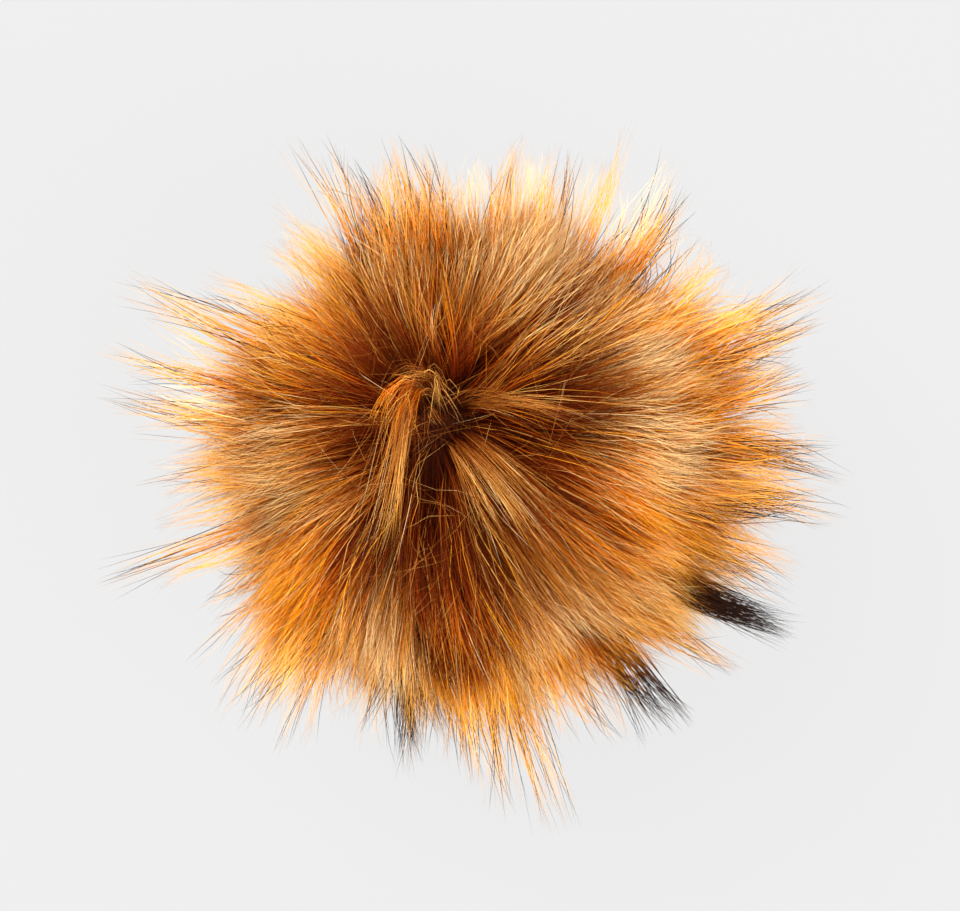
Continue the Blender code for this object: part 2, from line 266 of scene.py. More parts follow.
def reach_of(ways, pile):
    """From the ball's centre to the tips: the reach at the waist, blended by the square of z with the
    reach of the crown or the underside, and made uneven by ripples.
    """
    upright = ways[:, 2] ** 2
    side = round_waist(ways, 1) * MM
    ends = np.where(ways[:, 2] > 0, pile.crown_reach, pile.under_reach)
    return (side * (1 - upright) + ends * upright) * (1 + 0.05 * ripple(ways, 4, 7))


def falls(directions, pile):
    """Control points, (n, 4, 3), of the cubic path that hair grown in each direction would take alone.

    It starts straight out of the ball and leans away from the parting: not at all in the whorl, most
    just outside it, and less with a bell curve of the angle from the parting. Ripples make the lean
    uneven and sway it sideways, on top of the waist's own turn. The tip hangs by the sag, most where it
    is level.
    """
    across = np.cross(PARTING, directions)
    angle = np.arctan2(np.linalg.norm(across, axis=1), directions @ PARTING)
    lean = pile.splay * (1 - np.exp(-(angle / pile.whorl) ** 2)) * np.exp(-(angle / pile.splay_width) ** 2)
    lean *= 1 + 0.30 * ripple(directions, 2, 6)
    aside = unit(across)
    away = unit(np.cross(aside, directions))
    ways = directions * np.cos(lean)[:, None] + away * np.sin(lean)[:, None]
    turn = np.radians(round_waist(directions, 2)) * 0.6 + 0.16 * ripple(directions, 3, 5)
    ways = unit(ways + aside * turn[:, None])
    reach = reach_of(ways, pile)[:, None]
    centre = np.array((0, 0, pile.ball_height))
    down = np.array((0, 0, -1.0)) * pile.sag * (1 - ways[:, 2:] ** 2)
    root = centre + directions * pile.ball_radius
    length = reach - pile.ball_radius
    first = root + directions * length * 0.30
    second = centre + unit(directions * 0.35 + ways * 0.65) * (pile.ball_radius + length * 0.66) + down * 0.35
    return np.stack((root, first, second, centre + ways * reach + down), axis=1)


def gathered(paths, onto, pull):
    """Each path moved towards the one that it belongs to, by a share for each of its four points."""
    return paths + (onto - paths) * np.asarray(pull)[..., None]


def nearest(directions, centres):
    """The index of the nearest centre to each direction."""
    return np.argmax(directions.astype(np.float32) @ centres.T.astype(np.float32), axis=1)


def tousled(paths, rng, amount):
    """Paths strayed sideways by about this share of their length at the tip, a few of them much further."""
    chord = paths[:, 3] - paths[:, 0]
    length = np.linalg.norm(chord, axis=1, keepdims=True)
    ahead = chord / length
    wild = amount * (0.5 + np.minimum(rng.exponential(0.6, size=length.shape), 1.6))
    for point, share in ((1, 0.15), (2, 0.55), (3, 1.0)):
        stray = rng.normal(size=chord.shape)
        stray -= ahead * (stray * ahead).sum(axis=1, keepdims=True)
        paths[:, point] += stray * length * share * wild
    return paths


def rested(paths, rng):
    """Paths kept above the surface: what would sink through it is laid outwards along it."""
    for point in (1, 2, 3):
        floor = (0.4 + 1.8 * rng.random(len(paths))) * MM
        sunk = np.maximum(floor - paths[:, point, 2], 0)
        flat = paths[:, point, :2] - paths[:, 0, :2] * 0.5
        flat /= np.maximum(np.linalg.norm(flat, axis=1, keepdims=True), 1e-6)
        paths[:, point, :2] += flat * (sunk * 0.45)[:, None]
        paths[:, point, 2] += sunk
    return paths


def parted(points, height):
    """Points above a height, moved sideways away from the middle of each opening, less with a bell curve."""
    for x, y, radius in OPENINGS:
        off = points[..., :2] - np.array((x, y)) * MM
        near = np.linalg.norm(off, axis=-1, keepdims=True) / (radius * MM)
        push = 0.45 * np.exp(-near ** 2) * np.clip((points[..., 2:] - height) / (10 * MM), 0, 1)
        points[..., :2] += off / np.maximum(near, 0.15) * push
    return points


def along(paths, shares):
    """Points on cubic paths (n, 4, 3) at shares (n, k) of their length."""
    t = shares[..., None]
    a, b, c, d = (paths[:, None, i] for i in range(4))
    return a * (1 - t) ** 3 + 3 * b * t * (1 - t) ** 2 + 3 * c * t * t * (1 - t) + d * t ** 3


def strands(name, paths, reach, width, column, low, top, steps, height):
    """One piece of closed three-sided strands.

    A strand has a point at its root and at its tip, and between them a ring of three corners at each
    step, a share of the way along its path. It is full in the middle and its tip is fine. In the map
    that the dye follows, each strand is a narrow upright strip in its column, from low to top.
    """
    n = len(paths)
    share = np.array(steps, dtype=float)
    spine = parted(along(paths, share[None] * reach[:, None]), height)
    spine[..., 2] = np.maximum(spine[..., 2], 0.35 * MM)
    ahead = unit(np.gradient(spine, axis=1))
    chord = unit(paths[:, 3] - paths[:, 0])
    side = unit(np.cross(ahead, np.roll(chord, 1, axis=1)[:, None] + (0.1, 0.2, 0.3)))
    rise = np.cross(ahead, side)
    turn = np.arange(3) * 2 * math.pi / 3
    ring = side[:, :, None] * np.cos(turn)[:, None] + rise[:, :, None] * np.sin(turn)[:, None]
    radius = width[:, None] / 2 * (1 - share ** 4)[None]
    rings = (spine[:, :, None] + ring * radius[..., None, None])[:, 1:-1]
    corners = np.concatenate((spine[:, :1], rings.reshape(n, -1, 3), spine[:, -1:]), axis=1)
    per = corners.shape[1]

    around = np.array(((0, 1), (1, 2), (2, 0)))
    faces = [(0, b + 1, a + 1) for a, b in around]
    for step in range(len(steps) - 3):
        first = 1 + step * 3
        faces += [(a + first, b + first, b + first + 3) for a, b in around]
        faces += [(a + first, b + first + 3, a + first + 3) for a, b in around]
    faces += [(a + per - 4, b + per - 4, per - 1) for a, b in around]
    faces = np.array(faces)
    loops = (faces[None] + np.arange(n)[:, None, None] * per).reshape(-1)

    strip = np.concatenate(((0.0,), np.tile((-0.3, 0.0, 0.3), len(steps) - 2), (0.0,)))
    rows = np.concatenate(((0.0,), np.repeat(share[1:-1], 3), (1.0,)))
    u = (column[:, None] + 0.5 + strip[None]) / (len(DYES) * VARIANTS)
    low = np.broadcast_to(low, n)[:, None]
    # Kept just inside the map, so that no strip reaches its edge.
    v = (low + rows[None] * (top[:, None] - low)) * 0.99 + 0.002

    mesh = bpy.data.meshes.new(name)
    mesh.vertices.add(n * per)
    mesh.vertices.foreach_set("co", corners.astype(np.float32).ravel())
    mesh.loops.add(len(loops))
    mesh.loops.foreach_set("vertex_index", loops.astype(np.int32))
    mesh.polygons.add(len(loops) // 3)
    mesh.polygons.foreach_set("loop_start", np.arange(0, len(loops), 3, dtype=np.int32))
    dye_map = mesh.uv_layers.new(name="OFBake")
    dye_map.uv.foreach_set("vector", np.stack((u[:, faces], v[:, faces]), axis=-1).astype(np.float32).ravel())
    mesh.shade_smooth()
    mesh.update()
    return finished(name, mesh, fur())


def finished(name, mesh, material):
    """A piece of this mesh and material, which rides on the one body."""
    piece = bpy.data.objects.new(name, mesh)
    bpy.context.scene.collection.objects.link(piece)
    mesh.materials.append(material)
    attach(piece, "root")
    return piece


def add_node(tree, kind, inputs=None, **settings):
    """Adds a node of this kind, with its settings, and sets or links its inputs."""
    node = tree.nodes.new(kind)
    for key, value in settings.items():
        setattr(node, key, value)
    for key, value in (inputs or {}).items():
        if isinstance(value, bpy.types.NodeSocket):
            tree.links.new(value, node.inputs[key])
        else:
            node.inputs[key].default_value = value
    return node


# How each dye runs from root (0) to tip (1).
DYE_BANDS = {
    "fox": ((0.0, "#3A0E02"), (0.44, "#4E1402"), (0.62, "#7C2A04"), (0.75, "#C86A18"), (0.84, "#F8C46C"),
            (0.91, "#FFD888"), (1.0, "#CC9038")),
    "orange": ((0.0, "#3A0E02"), (0.44, "#5A1502"), (0.62, "#962F02"), (0.74, "#EC7E06"), (0.84, "#FFBC2C"),
               (0.92, "#FFB424"), (1.0, "#DC8418")),
    "gold": ((0.0, "#3A0E02"), (0.42, "#581603"), (0.58, "#903806"), (0.68, "#E48E24"), (0.78, "#FFD068"),
             (0.90, "#FFC858"), (1.0, "#D08828")),
    "pale": ((0.0, "#3A1004"), (0.40, "#521803"), (0.58, "#883C0A"), (0.72, "#D48C36"), (0.82, "#FFE0A0"),
             (0.92, "#FFE8B8"), (1.0, "#E8BC70")),
    "brown": ((0.0, "#360D02"), (0.46, "#4C1402"), (0.70, "#7A2C04"), (0.84, "#B86416"), (0.93, "#F0B44C"),
              (1.0, "#B07820")),
    "smoke": ((0.0, "#3A0E02"), (0.40, "#501602"), (0.58, "#8C3806"), (0.70, "#E8922C"), (0.80, "#F8BC50"),
              (0.86, "#8A4A14"), (0.91, "#3A1E10"), (1.0, "#20140E")),
    "black": ((0.0, "#3A0E02"), (0.40, "#5A1C04"), (0.58, "#A85A18"), (0.66, "#8A4A18"), (0.74, "#3A2014"),
              (1.0, "#221210")),
    "under": ((0.0, "#3E1002"), (0.42, "#581A03"), (0.58, "#8C3A06"), (0.72, "#CC7826"), (0.85, "#F8C470"),
              (1.0, "#FFDC98")),
    "tipped": ((0.0, "#3A1004"), (0.40, "#521803"), (0.58, "#8E400C"), (0.71, "#DCA04C"), (0.80, "#FFD074"),
               (0.88, "#FFAC2C"), (1.0, "#E08A10")),
}


def fur():
    """Dyed acrylic faux fur: soft round fibres that shine a little along their length and let light through.

    The colour is read from the dye map: the column says which dye and which of its variants, and the
    height runs from root to tip.
    """
    if "dyed_acrylic_fur" in bpy.data.materials:
        return bpy.data.materials["dyed_acrylic_fur"]
    material = bpy.data.materials.new("dyed_acrylic_fur")
    material.use_nodes = True
    tree = material.node_tree
    tree.nodes.clear()
    place = add_node(tree, "ShaderNodeUVMap", uv_map="OFBake")
    split = add_node(tree, "ShaderNodeSeparateXYZ", {"Vector": place.outputs["UV"]})
    across, up = split.outputs["X"], split.outputs["Y"]
    column = add_node(tree, "ShaderNodeMath", {0: across, 1: len(DYES) * VARIANTS}, operation="MULTIPLY")
    column = add_node(tree, "ShaderNodeMath", {0: column.outputs[0]}, operation="FLOOR")
    dice = add_node(tree, "ShaderNodeTexWhiteNoise", {"W": column.outputs[0]}, noise_dimensions="1D")
    throw = add_node(tree, "ShaderNodeSeparateXYZ", {"Vector": dice.outputs["Color"]})
    shift = add_node(tree, "ShaderNodeMapRange",
                     {"Value": throw.outputs["X"], "To Min": -0.045, "To Max": 0.045})
    height = add_node(tree, "ShaderNodeMath", {0: up, 1: shift.outputs[0]}, operation="ADD", use_clamp=True)
    colour = None
    for row, dye in enumerate(DYES):
        ramp = add_node(tree, "ShaderNodeValToRGB", {"Fac": height.outputs[0]})
        stops = ramp.color_ramp.elements
        stops.remove(stops[1])
        for share, code in DYE_BANDS[dye]:
            stop = stops[0] if share == 0 else stops.new(share)
            stop.color = srgb(code)
        if colour is None:
            colour = ramp.outputs["Color"]
            continue
        beyond = add_node(tree, "ShaderNodeMath", {0: across, 1: row / len(DYES)}, operation="GREATER_THAN")
        mixed = add_node(tree, "ShaderNodeMix",
                         {"Factor": beyond.outputs[0], 6: colour, 7: ramp.outputs["Color"]}, data_type="RGBA")
        colour = mixed.outputs[2]
    value = add_node(tree, "ShaderNodeMapRange",
                     {"Value": throw.outputs["Y"], "To Min": 0.90, "To Max": 1.10})
    tint = add_node(tree, "ShaderNodeHueSaturation", {"Color": colour, "Value": value.outputs[0]})
    shader = add_node(tree, "ShaderNodeBsdfPrincipled", {"Base Color": tint.outputs[0], "Roughness": 0.5,
                                                         "Specular IOR Level": 0.05})
    through = add_node(tree, "ShaderNodeBsdfTranslucent", {"Color": tint.outputs[0]})
    both = add_node(tree, "ShaderNodeMixShader", {0: 0.45, 1: shader.outputs[0], 2: through.outputs[0]})
    add_node(tree, "ShaderNodeOutputMaterial", {"Surface": both.outputs[0]})
    return material


# Where a dye gathers, by the place of the tips as seen from above, on the upper half of the ball.
# x, y (mm), radius (mm), dye, strength
DYE_PATCHES = (
    (-22, 45, 8, "pale", 3), (-30, 22, 6, "pale", 3), (-52, 14, 7, "pale", 3), (-51, 9, 6, "pale", 2),
    (-50, -14, 8, "pale", 3), (-44, -22, 6, "pale", 2), (-30, -32, 6, "pale", 2),
    (-14, -42, 7, "pale", 3), (-2, -36, 6, "pale", 2), (9, 50, 9, "pale", 4), (21, 47, 8, "pale", 4),
    (43, 22, 6, "pale", 4), (45, -2, 7, "pale", 3), (50, 8, 7, "pale", 3), (33, -9, 6, "pale", 2),
    (23, -34, 7, "pale", 4), (-7, 36, 5, "pale", 2), (35, -26, 5, "pale", 2), (-29, 35, 6, "orange", 3),
    (-42, 26, 7, "orange", 4), (-9, 44, 6, "orange", 4), (-8, 38, 4, "orange", 3),
    (3, 34, 5, "orange", 2), (-43, -31, 7, "orange", 3), (-45, -38, 6, "orange", 3),
    (-34, -42, 6, "orange", 3), (3, -40, 6, "orange", 3), (3, -52, 6, "orange", 3),
    (-12, -34, 7, "brown", 2), (-34, -18, 6, "orange", 2), (33, -40, 6, "orange", 4),
    (43, -15, 7, "orange", 5), (63, -7, 6, "orange", 3), (54, 22, 7, "orange", 3),
    (52, 26, 6, "orange", 3), (45, 33, 6, "orange", 3), (33, 34, 6, "orange", 2),
    (18, -17, 6, "orange", 2), (10, 26, 8, "brown", 3), (25, 22, 8, "brown", 3),
    (-12, 26, 8, "brown", 3), (27, -17, 7, "brown", 3), (11, -32, 8, "brown", 2),
    (34, 5, 6, "brown", 2), (-34, 8, 8, "brown", 2), (-34, -4, 8, "brown", 2),
)


def dyed(paths, rng, shares):
    """The dye of each path: its usual share, its patches and chance, weighed together."""
    tips = paths[:, 3]
    usual = np.log(np.array([shares.get(dye, 0) for dye in DYES]) + 1e-9)
    score = usual[None] + rng.gumbel(size=(len(paths), len(DYES)))
    upper = np.clip((tips[:, 2] - 30 * MM) / (20 * MM), 0, 1)
    for x, y, radius, dye, strength in DYE_PATCHES:
        near = np.exp(-((tips[:, 0] / MM - x) ** 2 + (tips[:, 1] / MM - y) ** 2) / radius ** 2)
        score[:, DYES.index(dye)] += near * strength * upper
    return np.argmax(score, axis=1)


def by_parting(ways, width):
    """How near each direction is to the parting, (n, 1): a bell curve of the angle, so many degrees wide."""
    angle = np.degrees(np.arccos(np.clip(ways @ unit(PARTING), -1, 1)))
    return np.exp(-(angle / width) ** 2)[:, None]


def fur_guides(pile, shares):
    """Directions, paths and dyes of the wisps, and how far along itself each one's dye is shifted.

    Locks are drawn towards their tress, and wisps towards their lock, in path and in dye.
    """
    rng = np.random.default_rng(11)
    way = scattered(pile.tresses, rng, 0.5)
    paths = tousled(falls(way, pile), rng, 0.08)
    dye = dyed(paths, rng, shares)
    shift = 0.15 * rng.normal(size=pile.tresses)
    for count, stray, pull, kept, uneven in ((pile.locks, 0.08, (0, 0.10, 0.42, 0.60), 0.6, 0.07),
                                             (pile.wisps, 0.06, (0, 0.10, 0.45, 0.68), 0.65, 0.05)):
        finer = scattered(count, rng, 0.8)
        home = nearest(finer, way)
        long = 1 + 0.05 * rng.normal(size=(count, 1))
        crossing = 1 + 2.0 * by_parting(finer, 30)
        drawn = gathered(tousled(falls(finer, pile), rng, stray * crossing), paths[home], pull)
        drawn[:, 3] = drawn[:, 0] + (drawn[:, 3] - drawn[:, 0]) * long
        dye = np.where(rng.random(count) < kept, dye[home], dyed(drawn, rng, shares))
        shift = shift[home] + uneven * rng.normal(size=count)
        way, paths = finer, drawn
    return way, paths, dye, 1 + shift


def column_of(dyes, rng):
    """The column of the dye map for hairs of these dyes, with a variant of each by chance."""
    return np.array([DYES.index(dye) for dye in dyes]) * VARIANTS + rng.integers(0, VARIANTS, len(dyes))


def hair_layer(name, count, seed, pile, shares, lengths, width, top, steps, pull, stray):
    """One layer of hair all round the ball, each hair drawn towards its nearest wisp.

    Pull says how far each of its four points is drawn, and stray how far it strays from there, both
    looser near the parting. Its length is a random share between the two lengths, a little more at the
    waist and less in an opening. The dye runs up to the top of its band, and less far over the crown,
    where the darker middle is partly the hair's own brown and partly painted shade.
    """
    rng = np.random.default_rng(seed)
    wisp_way, wisps, wisp_dye, bleach = fur_guides(pile, shares)
    way = scattered(count, rng, 1.2)
    home = nearest(way, wisp_way)
    near = by_parting(way, 32)
    paths = gathered(falls(way, pile), wisps[home], np.array(pull) * (1 - 0.4 * near))
    paths = rested(tousled(paths, rng, stray * (1 + 0.8 * near)), rng)
    dye = np.where(rng.random(count) < 0.75, wisp_dye[home], dyed(paths, rng, shares))
    reach = lengths[0] + (lengths[1] - lengths[0]) * rng.random(count) ** 0.8
    reach = reach + 0.06 * (1 - np.abs(way[:, 2]))
    for x, y, radius in OPENINGS:
        near = np.linalg.norm(paths[:, 3, :2] / MM - (x, y), axis=1) / (radius * 1.3)
        reach = reach * (1 - 0.45 * np.exp(-near ** 2) * (paths[:, 3, 2] > pile.ball_height))
    girth = width * (0.7 + 0.6 * rng.random(count))
    # Over the crown the dye stops lower, so that its brown middle shows, but for one hair in eight.
    # This darker middle of the top is partly the hair's brown and partly painted shade of the deep pile.
    far = np.clip((np.linalg.norm(paths[:, 3, :2], axis=1) / MM - 20) / 30, 0, 1)
    crown = np.clip((paths[:, 3, 2] / MM - 50) / 20, 0, 1)
    crown *= np.where(rng.random(count) < 0.12, 0.4, 1.0)
    tops = top * (1 - 0.34 * (1 - far) * crown) * (0.94 + 0.12 * rng.random(count)) * bleach[home]
    column = dye * VARIANTS + rng.integers(0, VARIANTS, count)
    strands(name, paths, reach, girth, column, 0.21, np.minimum(tops, 1), steps,
            pile.ball_height + PARTED_ABOVE * MM)


# The usual share of each dye in a layer.
GUARD_SHARES = {"fox": 0.36, "orange": 0.14, "pale": 0.26, "brown": 0.10, "smoke": 0.05, "black": 0.003,
                "tipped": 0.12}
UNDER_SHARES = {"fox": 0.15, "orange": 0.05, "pale": 0.12, "brown": 0.22, "under": 0.46}


class POMPOM_OT_underfur(bpy.types.Operator):
    """Grow the dense short underfur"""

    bl_idname = "pompom.underfur"
    bl_label = "Underfur"

    def execute(self, context):
        pile = context.scene.pompom_pile
        for layer in (1, 2):
            hair_layer(f"underfur_{layer}", pile.underfur_hairs, 20 + layer, pile, UNDER_SHARES,
                       (0.50, 0.86), pile.under_width, 0.90, (0, 0.5, 1), (0, 0.15, 0.45, 0.60), 0.07)
        return {"FINISHED"}


class POMPOM_OT_guard_hair(bpy.types.Operator):
    """Grow the long glossy guard hair"""

    bl_idname = "pompom.guard_hair"
    bl_label = "Guard hair"

    def execute(self, context):
        pile = context.scene.pompom_pile
        for layer in (1, 2, 3):
            hair_layer(f"guard_hair_{layer}", pile.guard_hairs, 30 + layer, pile, GUARD_SHARES,
                       (0.78, 1.06), pile.guard_width, 1.0, (0, 0.42, 0.74, 1), (0, 0.12, 0.48, 0.70), 0.065)
        return {"FINISHED"}


class POMPOM_OT_rim_tufts(bpy.types.Operator):
    """Grow the tufts of long hair that stand out past the thick pile"""

    bl_idname = "pompom.rim_tufts"
    bl_label = "Rim tufts"

    def execute(self, context):
        pile = context.scene.pompom_pile
        rng = np.random.default_rng(41)
        centre = np.array((0, 0, pile.ball_height))
        paths, columns, dark, lows = [], [], [], []
        for x, y, tip_x, tip_y, tip_z, hairs, spread, dye in RIM_TUFTS:
            tip = np.array((tip_x, tip_y, tip_z)) * MM
            base = np.array((x, y, (tip_z + RIM_HEIGHT) / 2)) * MM
            ways = unit(unit(base - centre) + rng.normal(size=(hairs, 3)) * (0.12, 0.12, 0.34))
            root = centre + ways * pile.ball_radius
            # Each wisp of the tuft is shorter and strays further by chance, most of all up and down.
            wisps = max(3, hairs // 5)
            wisp = rng.integers(0, wisps, hairs)
            short = rng.random((wisps, 1))
            back = (1 - 0.55 * short ** 1.5)[wisp] * (0.92 + 0.08 * rng.random((hairs, 1)))
            fan = rng.normal(size=(wisps, 3)) * (1, 1, 3.2)
            loose = (fan * spread * (0.4 + 0.8 * short))[wisp] + rng.normal(size=(hairs, 3)) * 0.6
            wide = rng.normal(size=(hairs, 3)) * (0.9, 0.9, 1.6) * spread + fan[wisp] * (0, 0, 0.7) * spread
            ends = base + (tip - base) * back + loose * MM
            leaving = base + (tip - base) * 0.15 * back + wide * MM
            paths.append(np.stack((root, root * 0.45 + leaving * 0.55, leaving, ends), axis=1))
            kinds = ("smoke", "black", "gold", "orange", "fox") if dye == "smoke" else (dye,) * 5
            kind = rng.choice(kinds, hairs, p=(0.26, 0.10, 0.30, 0.20, 0.14))
            columns.append(column_of(kind, rng))
            dark.append((kind == "smoke") | (kind == "black"))
            lows.append(np.full(hairs, 0.18 if dye == "black" else 0.4))
        paths = rested(tousled(np.concatenate(paths), rng, 0.02), rng)
        n = len(paths)
        width = pile.guard_width * (1.0 + 0.5 * rng.random(n) + 0.5 * np.concatenate(dark))
        strands("rim_tufts", paths, np.ones(n), width, np.concatenate(columns), np.concatenate(lows),
                np.ones(n), (0, 0.18, 0.36, 0.54, 0.72, 0.87, 1), 1.0)
        return {"FINISHED"}


class POMPOM_OT_crown_tufts(bpy.types.Operator):
    """Grow the tufts that curl and fall over the crown"""

    bl_idname = "pompom.crown_tufts"
    bl_label = "Crown tufts"

    def execute(self, context):
        pile = context.scene.pompom_pile
        rng = np.random.default_rng(51)
        paths, columns, lows, tops, ends = [], [], [], [], []
        for *points, hairs, spread, dye, top in CROWN_TUFTS:
            a, b, c, d = np.array(points, dtype=float) * MM
            # The cubic path that passes b and c at a third and two thirds of the way from a to d.
            path = np.stack((a, (18 * b - 5 * a - 9 * c + 2 * d) / 6,
                             (18 * c + 2 * a - 9 * b - 5 * d) / 6, d))
            # Each wisp strays from the tuft's path, more towards its tip, and then each hair does.
            hairs += hairs // 4
            wisps = hairs // 3
            wisp = rng.integers(0, wisps, hairs)
            bundle = rng.normal(size=(wisps, 1, 3)) * np.array((0.4, 0.9, 1.5, 2.6))[None, :, None] * spread
            stray = rng.normal(size=(hairs, 4, 3)) * np.array((0.4, 0.9, 1.3, 1.8))[None, :, None]
            paths.append(path[None] + (bundle[wisp] + stray) * MM)
            kind = rng.choice((dye, "brown", "tipped", "smoke"), hairs, p=(0.72, 0.08, 0.16, 0.04))
            columns.append(column_of(kind, rng))
            tops.append(top * (0.86 + 0.20 * rng.random(wisps))[wisp] * (0.84 + 0.20 * rng.random(hairs)))
            lows.append(np.full(hairs, np.interp(points[3][2], (74, 84), (0.36, 0.60))))
            ends.append((0.76 + 0.26 * rng.random(wisps))[wisp] * (0.92 + 0.1 * rng.random(hairs)))
        paths = np.concatenate(paths)
        n = len(paths)
        strands("crown_tufts", paths, np.concatenate(ends), pile.guard_width * (0.54 + 0.36 * rng.random(n)),
                np.concatenate(columns), np.concatenate(lows), np.minimum(np.concatenate(tops), 1),
                (0, 0.25, 0.45, 0.65, 0.84, 1), 1.0)
        return {"FINISHED"}


class POMPOM_OT_long_hair(bpy.types.Operator):
    """Grow the long stray hairs that cross the others, and the short ones that fly over the crown"""

    bl_idname = "pompom.long_hair"
    bl_label = "Long hair"

    def execute(self, context):
        pile = context.scene.pompom_pile
        rng = np.random.default_rng(61)
        n, m = pile.stray_hairs, pile.flying_hairs
        long = np.arange(n + m) < n
        paths = falls(scattered(n, rng, 1.5), pile)
        paths[:, 2:] += (paths[:, 2:] - (0, 0, pile.ball_height)) * (0.03 + 0.06 * rng.random((n, 1, 1)))
        paths = rested(tousled(paths, rng, 0.07), rng)
        # Over the crown they rise out of the pile anywhere and bend over to any side.
        out = 40 * MM * np.sqrt(rng.random((m, 1)))
        heading = rng.uniform(0, 2 * math.pi, (m, 2))
        place = np.stack((np.cos(heading), np.sin(heading)), axis=-1)
        start = np.concatenate((place[:, 0] * out + (-4 * MM, 4 * MM),
                                pile.ball_height + 0.72 * np.sqrt(pile.crown_reach ** 2 - out ** 2)), axis=1)
        level = unit(place[:, 1] + place[:, 0] * out / (20 * MM))
        course = np.concatenate((level, rng.random((m, 1)) * 0.6), axis=1)
        bend = rng.normal(size=(m, 3)) * (0.7, 0.7, 0.3)
        length = (4 + 6 * rng.random((m, 1))) * MM
        fly = np.stack((start - (0, 0, 14 * MM), start, start + course * length,
                        start + (course * 1.9 + bend * 0.6) * length), axis=1)
        paths = np.concatenate((paths, fly))
        dye = np.concatenate((rng.choice(("smoke", "black", "orange", "tipped", "pale"), n,
                                         p=(0.34, 0.10, 0.30, 0.20, 0.06)),
                              rng.choice(("pale", "tipped", "brown"), m, p=(0.6, 0.2, 0.2))))
        column = column_of(dye, rng)
        top = np.where(long, 1.0, 0.70 + 0.14 * rng.random(n + m))
        width = pile.guard_width * np.where(long, 1.0, 0.56) * (0.8 + 0.4 * rng.random(n + m))
        strands("long_hair", paths, 0.85 + 0.15 * rng.random(n + m), width, column, 0.54, top,
                (0, 0.2, 0.38, 0.54, 0.7, 0.85, 1), pile.ball_height + PARTED_ABOVE * MM)
        return {"FINISHED"}


def pleated_ball(radius, height):
    """Points and faces of a ball whose radius dips in 18 pleats: a raised cosine of the turn round the ball,
    which deepens with the cube of the angle from the top, towards the gather underneath.
    """
    rows, turns = 24, 72
    lean = np.linspace(0, math.pi, rows + 2)[1:-1, None]
    turn = np.linspace(0, 2 * math.pi, turns, endpoint=False)[None]
    pleat = 0.5 + 0.5 * np.cos(18 * turn + 0.6 * np.sin(3 * turn))
    out = radius * (0.97 - 0.10 * pleat * (lean / math.pi) ** 3)
    points = np.stack((out * np.sin(lean) * np.cos(turn), out * np.sin(lean) * np.sin(turn),
                       out * np.cos(lean)), axis=-1).reshape(-1, 3)
    poles = np.array(((0, 0, radius * 0.97), (0, 0, -radius * 0.9)))
    points = np.concatenate((points, poles)) + (0, 0, height)
    ring = np.arange(turns)
    after = (ring + 1) % turns
    start = np.arange(rows - 1)[:, None] * turns
    quads = np.stack((start + ring, start + turns + ring, start + turns + after, start + after), axis=-1)
    top, bottom = rows * turns, rows * turns + 1
    low = (rows - 1) * turns
    caps = np.concatenate((np.stack((np.full(turns, top), ring, after), axis=-1),
                           np.stack((np.full(turns, bottom), after + low, ring + low), axis=-1)))
    return points.tolist(), quads.reshape(-1, 4).tolist() + caps.tolist()


class POMPOM_OT_backing(bpy.types.Operator):
    """Make the gathered ball of backing cloth that the pile grows from"""

    bl_idname = "pompom.backing"
    bl_label = "Gathered backing"

    def execute(self, context):
        pile = context.scene.pompom_pile
        points, faces = pleated_ball(pile.ball_radius, pile.ball_height)
        mesh = bpy.data.meshes.new("gathered_backing")
        mesh.from_pydata(points, [], faces)
        mesh.shade_smooth()
        piece = finished("gathered_backing", mesh, backing_cloth())
        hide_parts(NODE)
        return {"FINISHED"}


def backing_cloth():
    """Knitted polyester backing, dyed dark brown: matt, with the fine ribs of a warp knit."""
    material = bpy.data.materials.new("knitted_backing")
    material.use_nodes = True
    tree = material.node_tree
    shader = tree.nodes["Principled BSDF"]
    shader.inputs["Roughness"].default_value = 0.9
    shader.inputs["Specular IOR Level"].default_value = 0.1
    place = add_node(tree, "ShaderNodeTexCoord")
    # Ribs about 0.8 mm apart, as in a fine warp knit.
    ribs = add_node(tree, "ShaderNodeTexWave",
                    {"Vector": place.outputs["Object"], "Scale": 400.0, "Distortion": 2.0})
    ramp = add_node(tree, "ShaderNodeValToRGB", {"Fac": ribs.outputs["Fac"]})
    ramp.color_ramp.elements[0].color = srgb("#2E0E04")
    ramp.color_ramp.elements[1].color = srgb("#4A1C08")
    tree.links.new(ramp.outputs["Color"], shader.inputs["Base Color"])
    return material


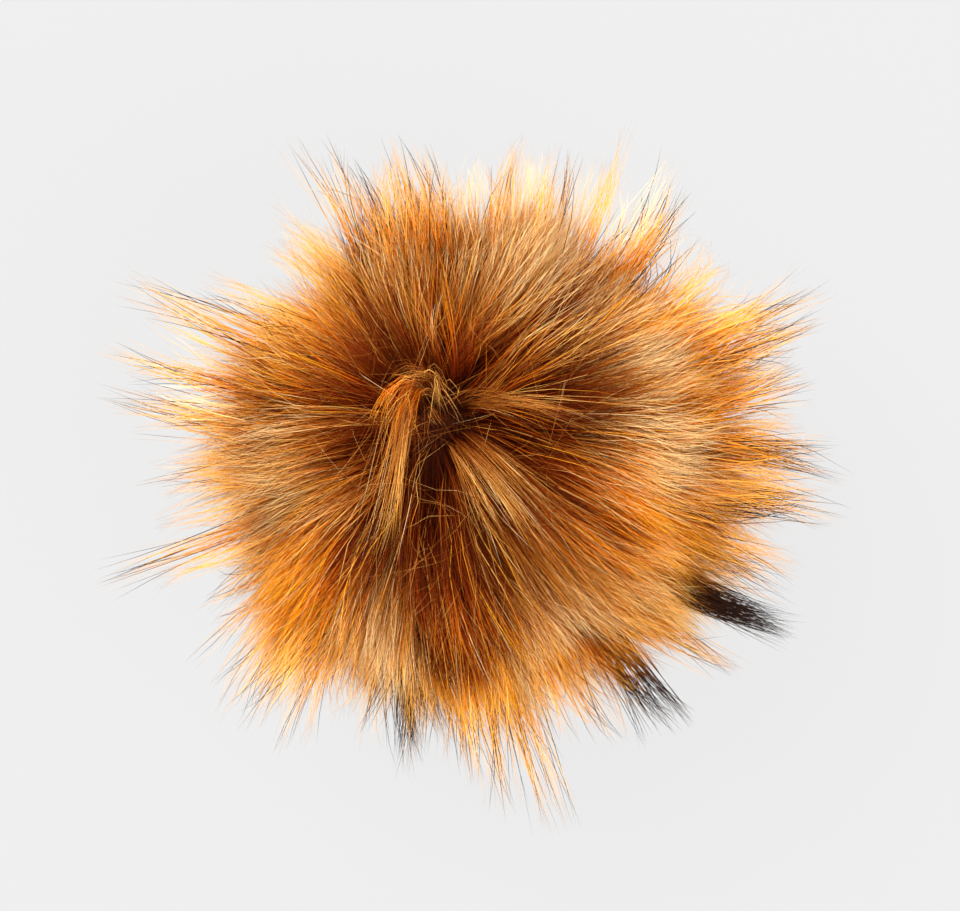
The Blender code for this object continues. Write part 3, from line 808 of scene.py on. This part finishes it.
class POMPOM_OT_stage(bpy.types.Operator):
    """Set the pale table, its lamps and the camera above"""

    bl_idname = "pompom.stage"
    bl_label = "Stage"

    def execute(self, context):
        stage = context.scene.pompom_stage
        table = bpy.data.meshes.new("table")
        edge = 3.0
        corners = [(-edge, -edge, 0), (edge, -edge, 0), (edge, edge, 0), (-edge, edge, 0)]
        table.from_pydata(corners, [], [(0, 1, 2, 3)])
        board = bpy.data.objects.new("table", table)
        context.scene.collection.objects.link(board)
        opal = bpy.data.materials.new("opal_acrylic")
        opal.use_nodes = True
        shader = opal.node_tree.nodes["Principled BSDF"]
        shader.inputs["Base Color"].default_value = (*stage.surface, 1)
        shader.inputs["Roughness"].default_value = 0.8
        shader.inputs["Specular IOR Level"].default_value = 0.0
        shader.inputs["Emission Color"].default_value = (1, 1, 1, 1)
        shader.inputs["Emission Strength"].default_value = stage.glow
        table.materials.append(opal)

        world = bpy.data.worlds.new("studio")
        context.scene.world = world
        world.use_nodes = True
        world.node_tree.nodes["Background"].inputs["Color"].default_value = (1, 1, 1, 1)
        world.node_tree.nodes["Background"].inputs["Strength"].default_value = 1.7

        # The lamps point at this height, and the camera frames it.
        middle = 50 * MM

        def lamp(name, power, size, place):
            light = bpy.data.lights.new(name, "AREA")
            light.energy = power
            light.size = size
            holder = bpy.data.objects.new(name, light)
            holder.location = place
            aim = Vector((0, 0, middle)) - Vector(place)
            holder.rotation_euler = aim.to_track_quat("-Z", "Y").to_euler()
            context.scene.collection.objects.link(holder)

        lamp("key_lamp", stage.key_power, 0.6, (-0.45, 0.45, 0.9))
        lamp("fill_lamp", stage.fill_power, 0.8, (0.7, -0.4, 0.7))

        lens = bpy.data.cameras.new("camera")
        lens.lens, lens.sensor_width = 135, 36
        camera = bpy.data.objects.new("camera", lens)
        # Far enough up for the picture to be this wide at that height.
        width = 192 * MM
        camera.location = (0.8 * MM, 0.5 * MM, middle + width / lens.sensor_width * lens.lens)
        context.scene.collection.objects.link(camera)
        context.scene.camera = camera
        context.scene.view_settings.view_transform = "Standard"
        return {"FINISHED"}


class POMPOM_PT_panel(bpy.types.Panel):
    """Lists the operators and the sizes and colours that they use"""

    bl_label = "Faux Fur Pom-Pom"
    bl_idname = "POMPOM_PT_panel"
    bl_space_type = "VIEW_3D"
    bl_region_type = "UI"
    bl_category = "Pom-Pom"

    def draw(self, context):
        for operator in OPERATORS:
            self.layout.operator(operator.bl_idname)
        for group in (context.scene.pompom_pile, context.scene.pompom_stage):
            for key in group.bl_rna.properties.keys():
                if key not in ("rna_type", "name"):
                    self.layout.prop(group, key)


OPERATORS = (POMPOM_OT_backing, POMPOM_OT_underfur, POMPOM_OT_guard_hair, POMPOM_OT_rim_tufts,
             POMPOM_OT_crown_tufts, POMPOM_OT_long_hair, POMPOM_OT_stage)
CLASSES = (PomPomPile, PomPomStage, *OPERATORS, POMPOM_PT_panel)


def register():
    for each in CLASSES:
        bpy.utils.register_class(each)
    bpy.types.Scene.pompom_pile = PointerProperty(type=PomPomPile)
    bpy.types.Scene.pompom_stage = PointerProperty(type=PomPomStage)


def unregister():
    del bpy.types.Scene.pompom_stage
    del bpy.types.Scene.pompom_pile
    for each in reversed(CLASSES):
        bpy.utils.unregister_class(each)


def main():
    register()
    bpy.ops.pompom.backing()
    bpy.ops.pompom.underfur()
    bpy.ops.pompom.guard_hair()
    bpy.ops.pompom.rim_tufts()
    bpy.ops.pompom.crown_tufts()
    bpy.ops.pompom.long_hair()
    bpy.ops.pompom.stage()


if __name__ == "__main__":
    main()
